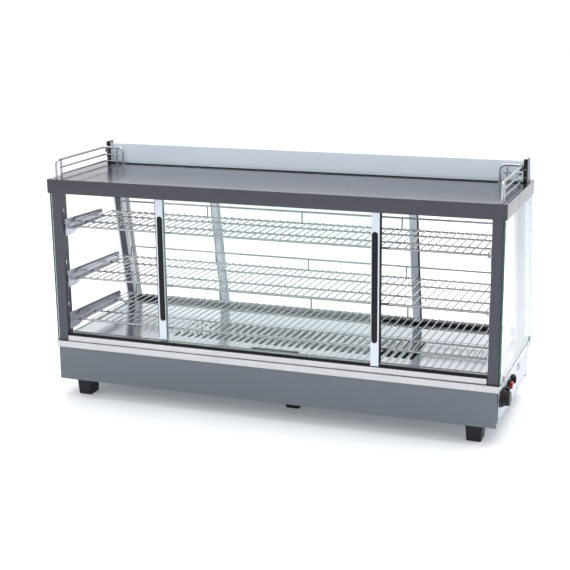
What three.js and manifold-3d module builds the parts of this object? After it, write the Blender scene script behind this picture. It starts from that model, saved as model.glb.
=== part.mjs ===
// Counter-top hot food display case with a glazed body, three wire shelves and four sliding doors.
// Millimetres. +X runs to the right along the front, +Y runs from the front to the rear, +Z is up.
// The model is drawn from the front face of the base (y = 0) and moved at the end, so that the
// origin is the bottom centre of the whole case.

import * as THREE from 'three';
import { mergeVertices } from 'three/addons/utils/BufferGeometryUtils.js';
import Module from 'manifold-3d';

const wasm = await Module();
wasm.setup();

// ---------------------------------------------------------------- driving dimensions
const GAP = 0.3; // clearance between touching pieces
const SHEET = 2; // folded sheet metal

const BASE = { half: 590, bottom: 48, top: 137, rearTop: 436, rearBottom: 418 };
const RIM = { half: 595, front: -2, rear: 440, bottom: BASE.top + GAP, top: 154 };
const SILL = { half: 563, front: 4, depth: 36, top: 169 };
const TOP = { half: 600, front: 2, rear: 358, bottom: 552, top: 589 };
const GLASS = 5;
const SIDE_GLASS_X = BASE.half + 1;

const COLUMN = { inner: 565, front: 6, depth: 30, wall: 2 };
const POST = { inner: 557, depth: 36 };
const SLOPE = THREE.MathUtils.degToRad(11); // lean of the rear frame
const FLOOR_TOP = 168;
const FLOOR_SLOTS = { count: 33, first: -292, pitch: 20.2, half: 5, rows: [[95, 153], [174, 249]] };
const HAND_HOLD = { left: -57, right: 73, rear: 68 };
const DECK_OPENING = { front: 46, rear: 384, flange: 14 };

const FOOT = { sole: 17, toe: 19, top: 24 }; // half widths of the square foot
const FOOT_PLACES = {
  front_left_foot: [-532, 46],
  front_right_foot: [532, 46],
  middle_foot: [38, 122],
  rear_left_foot: [-532, 380],
  rear_right_foot: [532, 380],
};
const VENTS = { count: 14, first: -430, pitch: 14, width: 5, groupGap: 664 };
const COOLING_SLOTS = { count: 12, first: -330, pitch: 60, length: 30, y: 190, width: 6 };
const HEATER = { z: 110, left: -480, right: 480, end: 520, rows: [110, 170, 230, 290], diameter: 8 };

const TRACK = { height: 5, floor: 1.5, wall: 1.3, groove: 6 };
const DOOR = { width: 580, stile: 21, stileDepth: 13, overlap: 7 };
const HANDLE = { width: 15, length: 276, drop: 11 }; // drop: how far its centre is below the leaf's centre
const LEAF_PITCH = 15; // distance between the two leaves of a pair of doors
const LEAF_FRONT = COLUMN.front + 2; // front face of the nearer leaf's stile
// how far each leaf stands along X from its place in an even pair
const LEAF_SHIFT = { front_left_door: -4, front_right_door: 0, rear_left_door: 4, rear_right_door: 4 };

// z is the top of the wire mat, armRear is the rear end of the arms below it
const SHELVES = [
  { name: 'top', z: 464, depth: 222, armRear: 216 },
  { name: 'middle', z: 325, depth: 270, armRear: 303 },
  { name: 'bottom', z: 210.5, depth: 291, armRear: 300 },
];
const SHELF = { half: 556, front: 43, wire: 5, pitch: 20 };
const GUARD = { half: 525, height: 28, tiePitch: 273, tieOffset: 10 };
// Heights are measured from the top of the mat.
const ARM = {
  thick: 2, x: 562.5, flange: 14, frontTop: 19, rearTop: 12, gussetBottom: -27, gussetRear: 117,
};
const HOOK_HEIGHTS = [11, -19]; // arm hooks, from the top of the mat
const SPARE_SLOT = 41; // one more slot above each pair, for setting a shelf higher

const PANEL_CENTRE = { y: 38, z: 114 }; // thermostat axis on the right side
const SWITCH_Y = [84, 128, 172];
const SWITCH_Z = 118;
const CONTROL_PLATE = 1.5;
const KNOB_TIP = 615;
const GLAND = { x: 500, z: 84 };

const HEADER = { front: 296, thick: 4, left: -575, right: 582, top: 645 };
const BRACKET_TOP = 650;
const GALLERY = { x: 582, front: 22, rear: 286, end: 526, wire: 6, heights: [635, 615, 597] };

const CENTRE = new THREE.Vector3((KNOB_TIP - TOP.half) / 2, (RIM.front + RIM.rear) / 2, 0);

// ---------------------------------------------------------------- materials
const paint = (color, roughness, metalness) =>
  new THREE.MeshStandardMaterial({ color, roughness, metalness });
const clearGlass = (color, opacity) =>
  new THREE.MeshStandardMaterial({ color, roughness: 0.05, metalness: 0, transparent: true, opacity });

const darkPaint = () => paint(0x52565e, 0.45, 0.2);
const stainless = () => paint(0xc9cbce, 0.3, 0.9);
const chrome = () => paint(0xd8dade, 0.15, 1);
const aluminium = () => paint(0xdfe3ea, 0.3, 0.8);
const blackPlastic = () => paint(0x17181b, 0.5, 0);

// ---------------------------------------------------------------- geometry helpers
const product = new THREE.Group();

function add(name, geometry, material, parent = product) {
  const mesh = new THREE.Mesh(geometry, material);
  mesh.name = name;
  parent.add(mesh);
  return mesh;
}

function box(x0, x1, y0, y1, z0, z1) {
  const geometry = new THREE.BoxGeometry(x1 - x0, y1 - y0, z1 - z0);
  return geometry.translate((x0 + x1) / 2, (y0 + y1) / 2, (z0 + z1) / 2);
}

function toSolid(geometry) {
  const plain = geometry.index ? geometry.toNonIndexed() : geometry.clone();
  plain.deleteAttribute('normal');
  plain.deleteAttribute('uv');
  const merged = mergeVertices(plain, 1e-4);
  const vertProperties = new Float32Array(merged.attributes.position.array);
  const triVerts = new Uint32Array(merged.index.array);
  return new wasm.Manifold(new wasm.Mesh({ numProp: 3, vertProperties, triVerts }));
}

function toGeometry(solid) {
  const { vertProperties, triVerts } = solid.getMesh();
  const geometry = new THREE.BufferGeometry();
  geometry.setAttribute('position', new THREE.BufferAttribute(new Float32Array(vertProperties), 3));
  geometry.setIndex(new THREE.BufferAttribute(new Uint32Array(triVerts), 1));
  geometry.computeVertexNormals();
  return geometry;
}

const join = (...pieces) => toGeometry(pieces.map(toSolid).reduce((a, b) => a.add(b)));
const cut = (piece, ...tools) =>
  toGeometry(tools.map(toSolid).reduce((a, b) => a.subtract(b), toSolid(piece)));

const ordered = (a, b) => [Math.min(a, b), Math.max(a, b)];

function shapeFrom(points) {
  return new THREE.Shape(points.map(([a, b]) => new THREE.Vector2(a, b)));
}

// An outline of [y, z] points, swept along X.
function prismX(points, x0, x1) {
  const geometry = new THREE.ExtrudeGeometry(shapeFrom(points), { depth: x1 - x0, bevelEnabled: false });
  const axes = new THREE.Matrix4().makeBasis(
    new THREE.Vector3(0, 1, 0), new THREE.Vector3(0, 0, 1), new THREE.Vector3(1, 0, 0));
  return geometry.applyMatrix4(axes).translate(x0, 0, 0);
}

// An outline of [x, y] points, swept along Z.
function prismZ(points, z0, z1, holes = []) {
  const shape = shapeFrom(points);
  shape.holes = holes.map((hole) => shapeFrom(hole));
  const geometry = new THREE.ExtrudeGeometry(shape, { depth: z1 - z0, bevelEnabled: false });
  return geometry.translate(0, 0, z0);
}

const rectangle = (a0, a1, b0, b1) => [[a0, b0], [a1, b0], [a1, b1], [a0, b1]];

// A round bar between two points.
function bar(from, to, diameter, sides = 6) {
  const start = new THREE.Vector3(...from);
  const way = new THREE.Vector3(...to).sub(start);
  const geometry = new THREE.CylinderGeometry(diameter / 2, diameter / 2, way.length(), sides);
  geometry.translate(0, way.length() / 2, 0);
  const turn = new THREE.Quaternion().setFromUnitVectors(new THREE.Vector3(0, 1, 0), way.normalize());
  return geometry.applyQuaternion(turn).translate(start.x, start.y, start.z);
}

// The centre line of a bent wire: its points in order, with a mitred direction at each.
class WirePath extends THREE.Curve {
  constructor(points) {
    super();
    this.points = points;
  }
  getUtoTmapping(u) {
    return u;
  }
  getPoint(t) {
    return this.points[Math.round(t * (this.points.length - 1))].clone();
  }
  getTangent(t) {
    const last = this.points.length - 1;
    const i = Math.round(t * last);
    const here = this.points[i];
    const before = this.points[Math.max(i - 1, 0)];
    const after = this.points[Math.min(i + 1, last)];
    const arriving = here.clone().sub(before).normalize();
    const leaving = after.clone().sub(here).normalize();
    return arriving.add(leaving).normalize();
  }
}

// A round wire bent along straight runs with rounded corners.
function bentWire(points, diameter, radius, sides = 6) {
  const corners = points.map((point) => new THREE.Vector3(...point));
  const bendSteps = 4;
  const route = [corners[0]];
  for (let i = 1; i < corners.length - 1; i++) {
    const start = corners[i - 1].clone().sub(corners[i]).setLength(radius).add(corners[i]);
    const end = corners[i + 1].clone().sub(corners[i]).setLength(radius).add(corners[i]);
    route.push(...new THREE.QuadraticBezierCurve3(start, corners[i], end).getPoints(bendSteps));
  }
  route.push(corners[corners.length - 1]);
  const section = new THREE.Shape();
  section.absarc(0, 0, diameter / 2, 0, 2 * Math.PI, false);
  const polygon = new THREE.Shape(section.getSpacedPoints(sides).slice(0, sides));
  const geometry = new THREE.ExtrudeGeometry(polygon, {
    steps: route.length - 1, extrudePath: new WirePath(route), bevelEnabled: false,
  });
  return geometry;
}

// y of the outer rear face at a height
const rearFaceY = (z) => TOP.rear - 2 + (TOP.bottom - z) * Math.tan(SLOPE);

// Rear frame: a group whose local z runs up the slope and whose local y points out of the back.
const rearFrame = new THREE.Group();
rearFrame.position.set(0, rearFaceY(TOP.bottom), TOP.bottom);
rearFrame.rotation.x = SLOPE;
product.add(rearFrame);
const REAR_LOW = -384; // local height of the rear sill's top
const REAR_HIGH = 32; // local height of the rear upper track's back

// [y, z] of a point given in the rear frame's own y and z
function rearPoint(y, z) {
  const point = new THREE.Vector3(0, y, z).applyEuler(rearFrame.rotation).add(rearFrame.position);
  return [point.y, point.z];
}

// ---------------------------------------------------------------- base
function makeBase() {
  const sideOutline = [
    [SHEET + GAP, BASE.bottom], [BASE.rearBottom, BASE.bottom],
    [BASE.rearTop, BASE.top], [SHEET + GAP, BASE.top],
  ];
  const shaftHole = bar([BASE.half - 10, PANEL_CENTRE.y, PANEL_CENTRE.z],
    [BASE.half + 10, PANEL_CENTRE.y, PANEL_CENTRE.z], 10, 12);
  add('base_front_panel', box(-BASE.half, BASE.half, 0, SHEET, BASE.bottom, BASE.top), darkPaint());
  add('base_left_panel', prismX(sideOutline, -BASE.half, -BASE.half + SHEET), stainless());
  add('base_right_panel', cut(prismX(sideOutline, BASE.half - SHEET, BASE.half), shaftHole), stainless());

  const inner = BASE.half - SHEET - GAP;
  const lean = (BASE.rearTop - BASE.rearBottom) / (BASE.top - BASE.bottom);
  const rearOutline = [
    [BASE.rearBottom - SHEET, BASE.bottom], [BASE.rearBottom, BASE.bottom],
    [BASE.rearTop, BASE.top], [BASE.rearTop - SHEET, BASE.top],
  ];
  const vents = []; // two groups of upright slots
  for (let i = 0; i < VENTS.count; i++) {
    const x = VENTS.first + i * VENTS.pitch + (i < VENTS.count / 2 ? 0 : VENTS.groupGap);
    vents.push(box(x, x + VENTS.width, BASE.rearBottom - 20, BASE.rearTop + 20,
      BASE.bottom + 25, BASE.top - 22));
  }
  const glandHole = bar(
    [GLAND.x, BASE.rearBottom - 20, GLAND.z], [GLAND.x, BASE.rearTop + 20, GLAND.z], 17, 12);
  add('base_rear_panel', cut(prismX(rearOutline, -inner, inner), ...vents, glandHole), stainless());

  const coolingSlots = [];
  for (let i = 0; i < COOLING_SLOTS.count; i++) {
    const { first, pitch, length, y, width } = COOLING_SLOTS;
    const x = first + i * pitch;
    coolingSlots.push(box(x, x + length, y, y + width, BASE.bottom - 5, BASE.bottom + 10));
  }
  const bottomRear = BASE.rearBottom - SHEET - GAP;
  const bottomPlate = box(-inner, inner, SHEET + GAP, bottomRear, BASE.bottom, BASE.bottom + SHEET);
  add('base_bottom_plate', cut(bottomPlate, ...coolingSlots), stainless());

  const gland = new THREE.LatheGeometry([
    [0, -12], [8, -12], [8, 3], [12, 3], [12, 8], [9, 12], [5, 12], [5, 4], [0, 4],
  ].map(([r, y]) => new THREE.Vector2(r, y)), 16);
  const glandMesh = add('cable_gland', gland, blackPlastic());
  glandMesh.position.set(GLAND.x, BASE.rearBottom + (GLAND.z - BASE.bottom) * lean, GLAND.z);
}

function makeFeet() {
  const high = BASE.bottom - GAP;
  // half width against height, turned with four sides
  const profile = [[0, 0], [FOOT.sole, 0], [FOOT.toe, 3], [FOOT.top, high - 6], [FOOT.top, high], [0, high]];
  const corners = profile.map(([half, z]) => new THREE.Vector2(half * Math.SQRT2, z));
  for (const [name, [x, y]] of Object.entries(FOOT_PLACES)) {
    const foot = new THREE.LatheGeometry(corners, 4);
    foot.rotateY(Math.PI / 4).rotateX(Math.PI / 2);
    add(name, foot, blackPlastic()).position.set(x, y, 0);
  }
}

function makeDeck() {
  const outer = rectangle(-RIM.half, RIM.half, RIM.front, RIM.rear);
  const { front, rear, flange } = DECK_OPENING; // flange: the return that rests on the base
  const opening = rectangle(-SILL.half + 8, SILL.half - 8, front, rear);
  const inside = box(-RIM.half + SHEET, RIM.half - SHEET, RIM.front + SHEET, RIM.rear - SHEET,
    RIM.bottom + SHEET, RIM.top - SHEET);
  const below = box(-RIM.half + flange, RIM.half - flange, RIM.front + flange, RIM.rear - flange,
    RIM.bottom - SHEET, RIM.bottom + 2 * SHEET);
  add('deck_rim', cut(prismZ(outer, RIM.bottom, RIM.top, [opening]), inside, below), stainless());

  const bottom = RIM.top + GAP;
  const sillRear = SILL.front + SILL.depth;
  const sill = box(-SILL.half, SILL.half, SILL.front, sillRear, bottom, SILL.top);
  const sillHollow = box(-SILL.half + SHEET, SILL.half - SHEET, SILL.front + SHEET, sillRear - SHEET,
    bottom - SHEET, SILL.top - SHEET);
  add('front_sill', cut(sill, sillHollow), stainless());
  const outerTop = rearPoint(-3, REAR_LOW);
  const innerTop = rearPoint(-38, REAR_LOW);
  const sillEnd = POST.inner - GAP;
  const rearSill = [[innerTop[0], bottom], [rearFaceY(bottom) - 3, bottom], outerTop, innerTop];
  const rearHollow = [
    [innerTop[0] + SHEET, bottom - SHEET], [rearFaceY(bottom) - 3 - SHEET, bottom - SHEET],
    [outerTop[0] - SHEET, outerTop[1] - SHEET], [innerTop[0] + SHEET, innerTop[1] - SHEET],
  ];
  add('rear_sill', cut(prismX(rearSill, -sillEnd, sillEnd),
    prismX(rearHollow, -sillEnd + SHEET, sillEnd - SHEET)), stainless());
}

// ---------------------------------------------------------------- interior floor with the warm air slots
function makeFloor() {
  const front = SILL.front + SILL.depth + 1;
  const rear = rearPoint(-38, REAR_LOW)[0] - 1;
  const half = SILL.half - 1;
  const hollow = box(-half + SHEET, half - SHEET, front + SHEET, rear - SHEET,
    RIM.top - 5, FLOOR_TOP - SHEET);
  const through = (x0, x1, y0, y1) => box(x0, x1, y0, y1, FLOOR_TOP - 9, FLOOR_TOP + 5);
  const holes = [through(HAND_HOLD.left, HAND_HOLD.right, front + 4, HAND_HOLD.rear)];
  for (let i = 0; i < FLOOR_SLOTS.count; i++) {
    const x = FLOOR_SLOTS.first + i * FLOOR_SLOTS.pitch;
    for (const [y0, y1] of FLOOR_SLOTS.rows) {
      holes.push(through(x - FLOOR_SLOTS.half, x + FLOOR_SLOTS.half, y0, y1));
    }
  }
  const tray = box(-half, half, front, rear, RIM.top + GAP, FLOOR_TOP);
  add('interior_floor', cut(tray, hollow, ...holes), stainless());
}

// ---------------------------------------------------------------- heater and thermostat inside the base
function makeHeater() {
  const { z, left, right, end, rows, diameter } = HEATER;
  const route = [
    [end, rows[0], z], [left, rows[0], z], [left, rows[1], z], [right, rows[1], z],
    [right, rows[2], z], [left, rows[2], z], [left, rows[3], z], [end, rows[3], z],
  ];
  add('heating_element', bentWire(route, diameter, 26, 8), paint(0x3b3936, 0.5, 0.7));

  const { y: panelY, z: panelZ } = PANEL_CENTRE;
  const body = box(545, 585, panelY - 17, panelY + 17, panelZ - 17, panelZ + 17);
  const shaft = bar([584, panelY, panelZ], [KNOB_TIP - 6, panelY, panelZ], 6, 12);
  add('thermostat_body', join(body, shaft), paint(0xb9a98a, 0.6, 0.1));
}

function makeControls() {
  const x0 = BASE.half + GAP;
  const x1 = x0 + CONTROL_PLATE;
  const { y: panelY, z: panelZ } = PANEL_CENTRE;
  const plate = box(x0, x1, 10, 262, 62, 134);
  const hole = bar([x0 - 5, panelY, panelZ], [x1 + 5, panelY, panelZ], 10, 12);
  add('control_plate', cut(plate, hole), paint(0xc3ced8, 0.35, 0.5));

  const reach = KNOB_TIP - x1 - GAP;
  const profile = [[0, reach - 5], [3.4, reach - 5], [3.4, 0], [15, 0], [15, 4.5], [21.5, 4.5], [21.5, 8.5],
    [18.5, 9.5], [17.5, reach - 1], [16.5, reach], [0, reach]];
  const knob = new THREE.LatheGeometry(profile.map(([r, y]) => new THREE.Vector2(r, y)), 28);
  knob.rotateZ(-Math.PI / 2);
  add('thermostat_knob', knob, blackPlastic())
    .position.set(x1 + GAP, panelY, panelZ);

  const names = ['light_switch_rocker', 'power_switch_rocker', 'heater_switch_rocker'];
  names.forEach((name, i) => {
    const outline = [[-9, 0], [9, 0], [9, 6], [0, 4.4], [-9, 8.4]];
    const shape = shapeFrom(outline);
    const rocker = new THREE.ExtrudeGeometry(shape, { depth: 14, bevelEnabled: false });
    rocker.translate(0, 0, -7);
    const axes = new THREE.Matrix4().makeBasis(
      new THREE.Vector3(0, 1, 0), new THREE.Vector3(1, 0, 0), new THREE.Vector3(0, 0, -1));
    rocker.applyMatrix4(axes);
    const color = i === 1 ? paint(0xc83a44, 0.3, 0) : blackPlastic();
    add(name, rocker, color).position.set(x1 + 6, SWITCH_Y[i], SWITCH_Z);
  });
}

// ---------------------------------------------------------------- columns, posts and side glass
const slotHeights = SHELVES.flatMap(({ z }) => [SPARE_SLOT, ...HOOK_HEIGHTS].map((up) => z + up));

function makeColumns() {
  const { inner, front, depth, wall } = COLUMN;
  const outer = BASE.half;
  const rear = front + depth;
  const ridge = 1.2;
  const section = [
    [inner, rear], [inner, front], [inner + 7, front], [inner + 7, front + ridge],
    [inner + 10, front + ridge], [inner + 10, front],
    [outer - 7, front], [outer - 7, front + ridge], [outer - 4, front + ridge],
    [outer - 4, front], [outer, front], [outer, rear], [outer - 8, rear], [outer - 8, rear - wall],
    [outer - wall, rear - wall], [outer - wall, front + wall + ridge], [inner + wall, front + wall + ridge],
    [inner + wall, rear],
  ];
  for (const [name, side] of [['front_left_column', -1], ['front_right_column', 1]]) {
    const outline = section.map(([x, y]) => [side * x, y]);
    const profile = prismZ(outline, RIM.top + GAP, TOP.bottom - GAP);
    const slots = slotHeights.map((z) => {
      const xs = ordered(side * (inner - 3), side * (inner + wall + 1));
      return box(xs[0], xs[1], front + 14, front + 18.5, z - 6, z + 6);
    });
    add(name, cut(profile, ...slots), darkPaint());
  }
  const low = RIM.top + GAP;
  const high = TOP.bottom - GAP;
  const across = POST.depth / Math.cos(SLOPE);
  // A leaning section between two heights, `inset` in from its front and rear faces.
  const leaning = (z0, z1, inset) => [
    [rearFaceY(z0) - across + inset, z0], [rearFaceY(z0) - inset, z0],
    [rearFaceY(z1) - inset, z1], [rearFaceY(z1) - across + inset, z1],
  ];
  for (const [name, side] of [['rear_left_post', -1], ['rear_right_post', 1]]) {
    const outerX = ordered(side * POST.inner, side * BASE.half);
    const tube = prismX(leaning(low, high, 0), outerX[0], outerX[1]);
    const bore = prismX(leaning(low - 5, high + 5, SHEET), outerX[0] + SHEET, outerX[1] - SHEET);
    add(name, cut(tube, bore), darkPaint());
  }

  const pane = [[COLUMN.front, low], [rearFaceY(low), low], [rearFaceY(high), high], [COLUMN.front, high]];
  const tint = 0xe4f2ee;
  add('left_side_glass', prismX(pane, -SIDE_GLASS_X - GLASS, -SIDE_GLASS_X), clearGlass(tint, 0.25));
  add('right_side_glass', prismX(pane, SIDE_GLASS_X, SIDE_GLASS_X + GLASS), clearGlass(tint, 0.25));
}

// ---------------------------------------------------------------- roof, header and galleries
function makeRoof() {
  const shell = box(-TOP.half, TOP.half, TOP.front, TOP.rear, TOP.bottom, TOP.top);
  const hollow = box(-TOP.half + SHEET, TOP.half - SHEET, TOP.front + SHEET, TOP.rear - SHEET,
    TOP.bottom - 5, TOP.top - SHEET);
  add('top_cover', cut(shell, hollow), darkPaint());
  const linerFront = SILL.front + SILL.depth + 2;
  const linerRear = rearFaceY(TOP.bottom) - POST.depth - 8;
  const linerLow = TOP.bottom + 1;
  add('ceiling_liner', box(-584, 584, linerFront, linerRear, linerLow, linerLow + SHEET), stainless());
}

function makeHeader() {
  const { front, thick, left, right, top } = HEADER;
  const low = TOP.top + GAP;
  add('header_panel', box(left, right, front, front + thick, low, top), clearGlass(0xb9c9d4, 0.55));
  for (const [name, side, end] of [['left_header_bracket', -1, left], ['right_header_bracket', 1, right]]) {
    const y = front + thick + GAP;
    const xs = ordered(end - side * 10, end + side * 15);
    const flange = box(xs[0], xs[1], y, y + SHEET, low, BRACKET_TOP);
    const outline = [[y, low], [y + 45, low], [y + 18, BRACKET_TOP], [y, BRACKET_TOP]];
    const plateX = ordered(end + side * 13, end + side * 15);
    add(name, join(flange, prismX(outline, plateX[0], plateX[1])), paint(0xa9adb3, 0.35, 0.6));
  }
}

function makeGallery(name, side) {
  const { x, front, rear, end, wire, heights } = GALLERY;
  const low = TOP.top + GAP;
  const [topZ, ...lowerZ] = heights;
  const frame = bentWire([
    [side * x, front, low], [side * x, front, topZ], [side * x, rear, topZ],
    [side * end, rear, topZ], [side * end, rear, low],
  ], wire, 14);
  const rails = lowerZ.map((z) => bentWire(
    [[side * x, front - 8, z], [side * x, rear, z], [side * (end - 8), rear, z]], wire, 14));
  const second = bar([side * x, front + 25, low], [side * x, front + 25, topZ], wire);
  const inner = bar([side * (end + 19), rear, low], [side * (end + 19), rear, topZ], wire);
  add(name, join(frame, ...rails, second, inner), chrome());
}

// ---------------------------------------------------------------- shelves and their arms
function makeShelf({ name, z, depth }) {
  const { half, front, wire, pitch } = SHELF;
  const rear = front + depth;
  const count = Math.floor((2 * (half - wire)) / pitch);
  const first = -(count * pitch) / 2;
  const slots = [];
  for (let i = 0; i < count; i++) {
    const x = first + i * pitch;
    slots.push(box(x + wire / 2, x + pitch - wire / 2, front + wire, rear - wire, z - 2 * wire, z + wire));
  }
  const pieces = [cut(box(-half, half, front, rear, z - wire, z), ...slots)];
  const low = z - 2 * wire;
  for (const share of [0.3, 0.715]) {
    const y = front + depth * share;
    pieces.push(box(-half, half, y, y + wire, low, z - wire - GAP));
  }
  for (const x of [-half, half - wire]) {
    pieces.push(box(x, x + wire, front, rear, low, z - wire / 2));
  }
  for (const y of [front, rear - wire]) {
    pieces.push(box(-half, half, y, y + wire, z - wire - 2, z - 1));
  }
  const high = z + GUARD.height;
  const middleTies = [-1, 0, 1].map((i) => i * GUARD.tiePitch + GUARD.tieOffset);
  for (const x of [-GUARD.half, ...middleTies, GUARD.half]) {
    pieces.push(box(x - wire / 2, x + wire / 2, rear - wire, rear, z - 1, high));
  }
  const guardEnd = GUARD.half + wire / 2;
  pieces.push(box(-guardEnd, guardEnd, rear - wire, rear, high - wire, high));
  add(`${name}_shelf`, join(...pieces), chrome());
}

function makeArm({ name, z, armRear }, sideName, side) {
  const { thick, x, flange, frontTop, rearTop, gussetBottom, gussetRear } = ARM;
  const front = COLUMN.front + 13;
  const seat = z - 2 * SHELF.wire - GAP;
  const outline = [
    [front, z + frontTop], [front, z + gussetBottom], [front + 38, z + gussetBottom],
    [gussetRear, seat - thick], [armRear, seat - thick], [armRear, z + rearTop],
  ];
  const plateX = ordered(side * (x - thick), side * x);
  const flangeX = ordered(side * (x - flange), side * (x - thick / 2));
  const pieces = [
    prismX(outline, plateX[0], plateX[1]),
    box(flangeX[0], flangeX[1], SHELF.front - 2, armRear, seat - thick, seat),
  ];
  const hookX = ordered(side * (x - thick / 2), side * (COLUMN.inner + COLUMN.wall + 0.8));
  const hookY = [COLUMN.front + 14.5, COLUMN.front + 18];
  for (const height of HOOK_HEIGHTS.map((up) => z + up)) {
    pieces.push(box(hookX[0], hookX[1], hookY[0], hookY[1], height - 4.5, height + 4.5));
  }
  add(`${name}_shelf_${sideName}_arm`, join(...pieces), stainless());
}

// ---------------------------------------------------------------- sliding doors and their tracks
// A track section open upwards with one groove for each leaf, in [y, z] with its base at z = 0.
function trackSection(y0) {
  const { height, floor, wall, groove } = TRACK;
  const groove1 = y0 + wall;
  const groove2 = groove1 + LEAF_PITCH;
  const end = groove2 + groove + wall;
  return [
    [y0, 0], [end, 0], [end, height], [groove2 + groove, height], [groove2 + groove, floor],
    [groove2, floor], [groove2, height], [groove1 + groove, height], [groove1 + groove, floor],
    [groove1, floor], [groove1, height], [y0, height],
  ];
}

// One leaf: glass, a stile on its outer edge and a long flush handle.
// `outward` is +1 when the outer face looks to +y of its parent and -1 when it looks to -y.
// The outermost leaf's stile also has a thin skirt that hangs in front of the track.
function makeLeaf(prefix, parent, side, faceY, outward, low, high, skirted) {
  const outerX = side * (DOOR.width / 2 + DOOR.overlap) + LEAF_SHIFT[prefix];
  const glassX = ordered(outerX - side * 3, outerX - side * (DOOR.width - 8));
  const depth = (a, b) => ordered(faceY - outward * a, faceY - outward * b);
  const glassY = depth(4, 4 + GLASS);
  add(`${prefix}_glass`, box(glassX[0], glassX[1], glassY[0], glassY[1], low, high),
    clearGlass(0xdcefea, 0.25), parent);

  const stileX = ordered(outerX, outerX - side * DOOR.stile);
  const stileY = depth(0, DOOR.stileDepth);
  const pocketY = depth(-1, 2.6);
  const glassSlot = box(glassX[0] - GAP, glassX[1] + GAP, glassY[0] - GAP, glassY[1] + GAP,
    low - 20, high + 20);
  const stiles = [box(stileX[0], stileX[1], stileY[0], stileY[1], low + TRACK.height, high - TRACK.height)];
  if (skirted) {
    const skirtY = depth(0, 1.7);
    stiles.push(box(stileX[0], stileX[1], skirtY[0], skirtY[1], low - 1, low + TRACK.height));
  }
  const centreX = outerX - side * (DOOR.stile / 2 + 1);
  const centreZ = (low + high) / 2 - HANDLE.drop;
  const handle = (grow) => handleShape(centreX, centreZ, HANDLE.width / 2 + grow, HANDLE.length / 2 + grow);
  const pocket = sweepY(handle(0), pocketY[0], pocketY[1]);
  add(`${prefix}_stile`, cut(join(...stiles), glassSlot, pocket), aluminium(), parent);
  const gripY = depth(-0.8, 2.3);
  add(`${prefix}_handle`, sweepY(handle(-GAP), gripY[0], gripY[1]), blackPlastic(), parent);
}

// A long slot outline with round ends in [x, z].
function handleShape(x, z, halfWidth, halfLength) {
  const shape = new THREE.Shape();
  shape.moveTo(x - halfWidth, z - halfLength + halfWidth);
  shape.absarc(x, z - halfLength + halfWidth, halfWidth, Math.PI, 2 * Math.PI, false);
  shape.absarc(x, z + halfLength - halfWidth, halfWidth, 0, Math.PI, false);
  shape.closePath();
  return shape;
}

function sweepY(shape, y0, y1) {
  const options = { depth: y1 - y0, bevelEnabled: false, curveSegments: 5 };
  return new THREE.ExtrudeGeometry(shape, options).rotateX(Math.PI / 2).translate(0, y1, 0);
}

// The lower track stands on a sill at `low`; the upper one hangs with its back at `high`.
function makeTracks(prefix, parent, y0, low, high, half) {
  const upright = trackSection(y0).map(([y, z]) => [y, z + low]);
  const hanging = trackSection(y0).map(([y, z]) => [y, high - z]).reverse();
  add(`${prefix}_lower_track`, prismX(upright, -half, half), blackPlastic(), parent);
  add(`${prefix}_upper_track`, prismX(hanging, -half, half), blackPlastic(), parent);
}

function makeDoors() {
  const toGroove = 4 + GLASS / 2 - TRACK.wall - TRACK.groove / 2; // stile face to the track's edge
  const frontLow = SILL.top + GAP;
  const frontHigh = TOP.top - SHEET - 1;
  makeTracks('front', product, LEAF_FRONT + toGroove, frontLow, frontHigh, SILL.half);
  makeLeaf('front_right_door', product, 1, LEAF_FRONT, -1, frontLow + 2, frontHigh - 2, true);
  makeLeaf('front_left_door', product, -1, LEAF_FRONT + LEAF_PITCH, -1, frontLow + 2, frontHigh - 2, false);

  const face = -3;
  const rearLow = REAR_LOW + GAP;
  const span = 2 * TRACK.wall + TRACK.groove + LEAF_PITCH;
  makeTracks('rear', rearFrame, face - toGroove - span, rearLow, REAR_HIGH, POST.inner - 1);
  makeLeaf('rear_left_door', rearFrame, -1, face, 1, rearLow + 2, REAR_HIGH - 2, true);
  makeLeaf('rear_right_door', rearFrame, 1, face - LEAF_PITCH, 1, rearLow + 2, REAR_HIGH - 2, false);
}

makeBase();
makeFeet();
makeDeck();
makeFloor();
makeHeater();
makeControls();
makeColumns();
makeRoof();
makeHeader();
makeGallery('left_gallery', -1);
makeGallery('right_gallery', 1);
for (const shelf of SHELVES) {
  makeShelf(shelf);
  makeArm(shelf, 'left', -1);
  makeArm(shelf, 'right', 1);
}
makeDoors();

product.position.copy(CENTRE).multiplyScalar(-1);
const assembly = new THREE.Group();
assembly.add(product);

export default assembly;
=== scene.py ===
"""Looks of the counter-top hot food display case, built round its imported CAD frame.

Everything is in metres in the row frame. Each CAD node that shows is replaced by a finished piece,
whose place and size come from that node's box or outline."""

import math

import bmesh
import bpy
from mathutils import Matrix, Vector


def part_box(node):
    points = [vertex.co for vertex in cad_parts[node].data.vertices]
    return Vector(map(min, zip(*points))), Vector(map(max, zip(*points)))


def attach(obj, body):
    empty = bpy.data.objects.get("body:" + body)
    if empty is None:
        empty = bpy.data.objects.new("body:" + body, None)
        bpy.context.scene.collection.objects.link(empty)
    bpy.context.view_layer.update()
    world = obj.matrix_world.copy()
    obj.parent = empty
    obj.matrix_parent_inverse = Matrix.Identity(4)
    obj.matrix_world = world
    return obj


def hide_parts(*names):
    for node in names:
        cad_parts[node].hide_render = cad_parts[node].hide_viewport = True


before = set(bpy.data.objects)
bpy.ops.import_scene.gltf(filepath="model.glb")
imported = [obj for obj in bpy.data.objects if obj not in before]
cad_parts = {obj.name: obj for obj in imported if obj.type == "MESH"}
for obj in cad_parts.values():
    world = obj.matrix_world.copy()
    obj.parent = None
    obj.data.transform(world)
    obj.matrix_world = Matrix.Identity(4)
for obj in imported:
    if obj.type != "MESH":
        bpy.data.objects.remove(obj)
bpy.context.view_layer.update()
scene = bpy.context.scene

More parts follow.
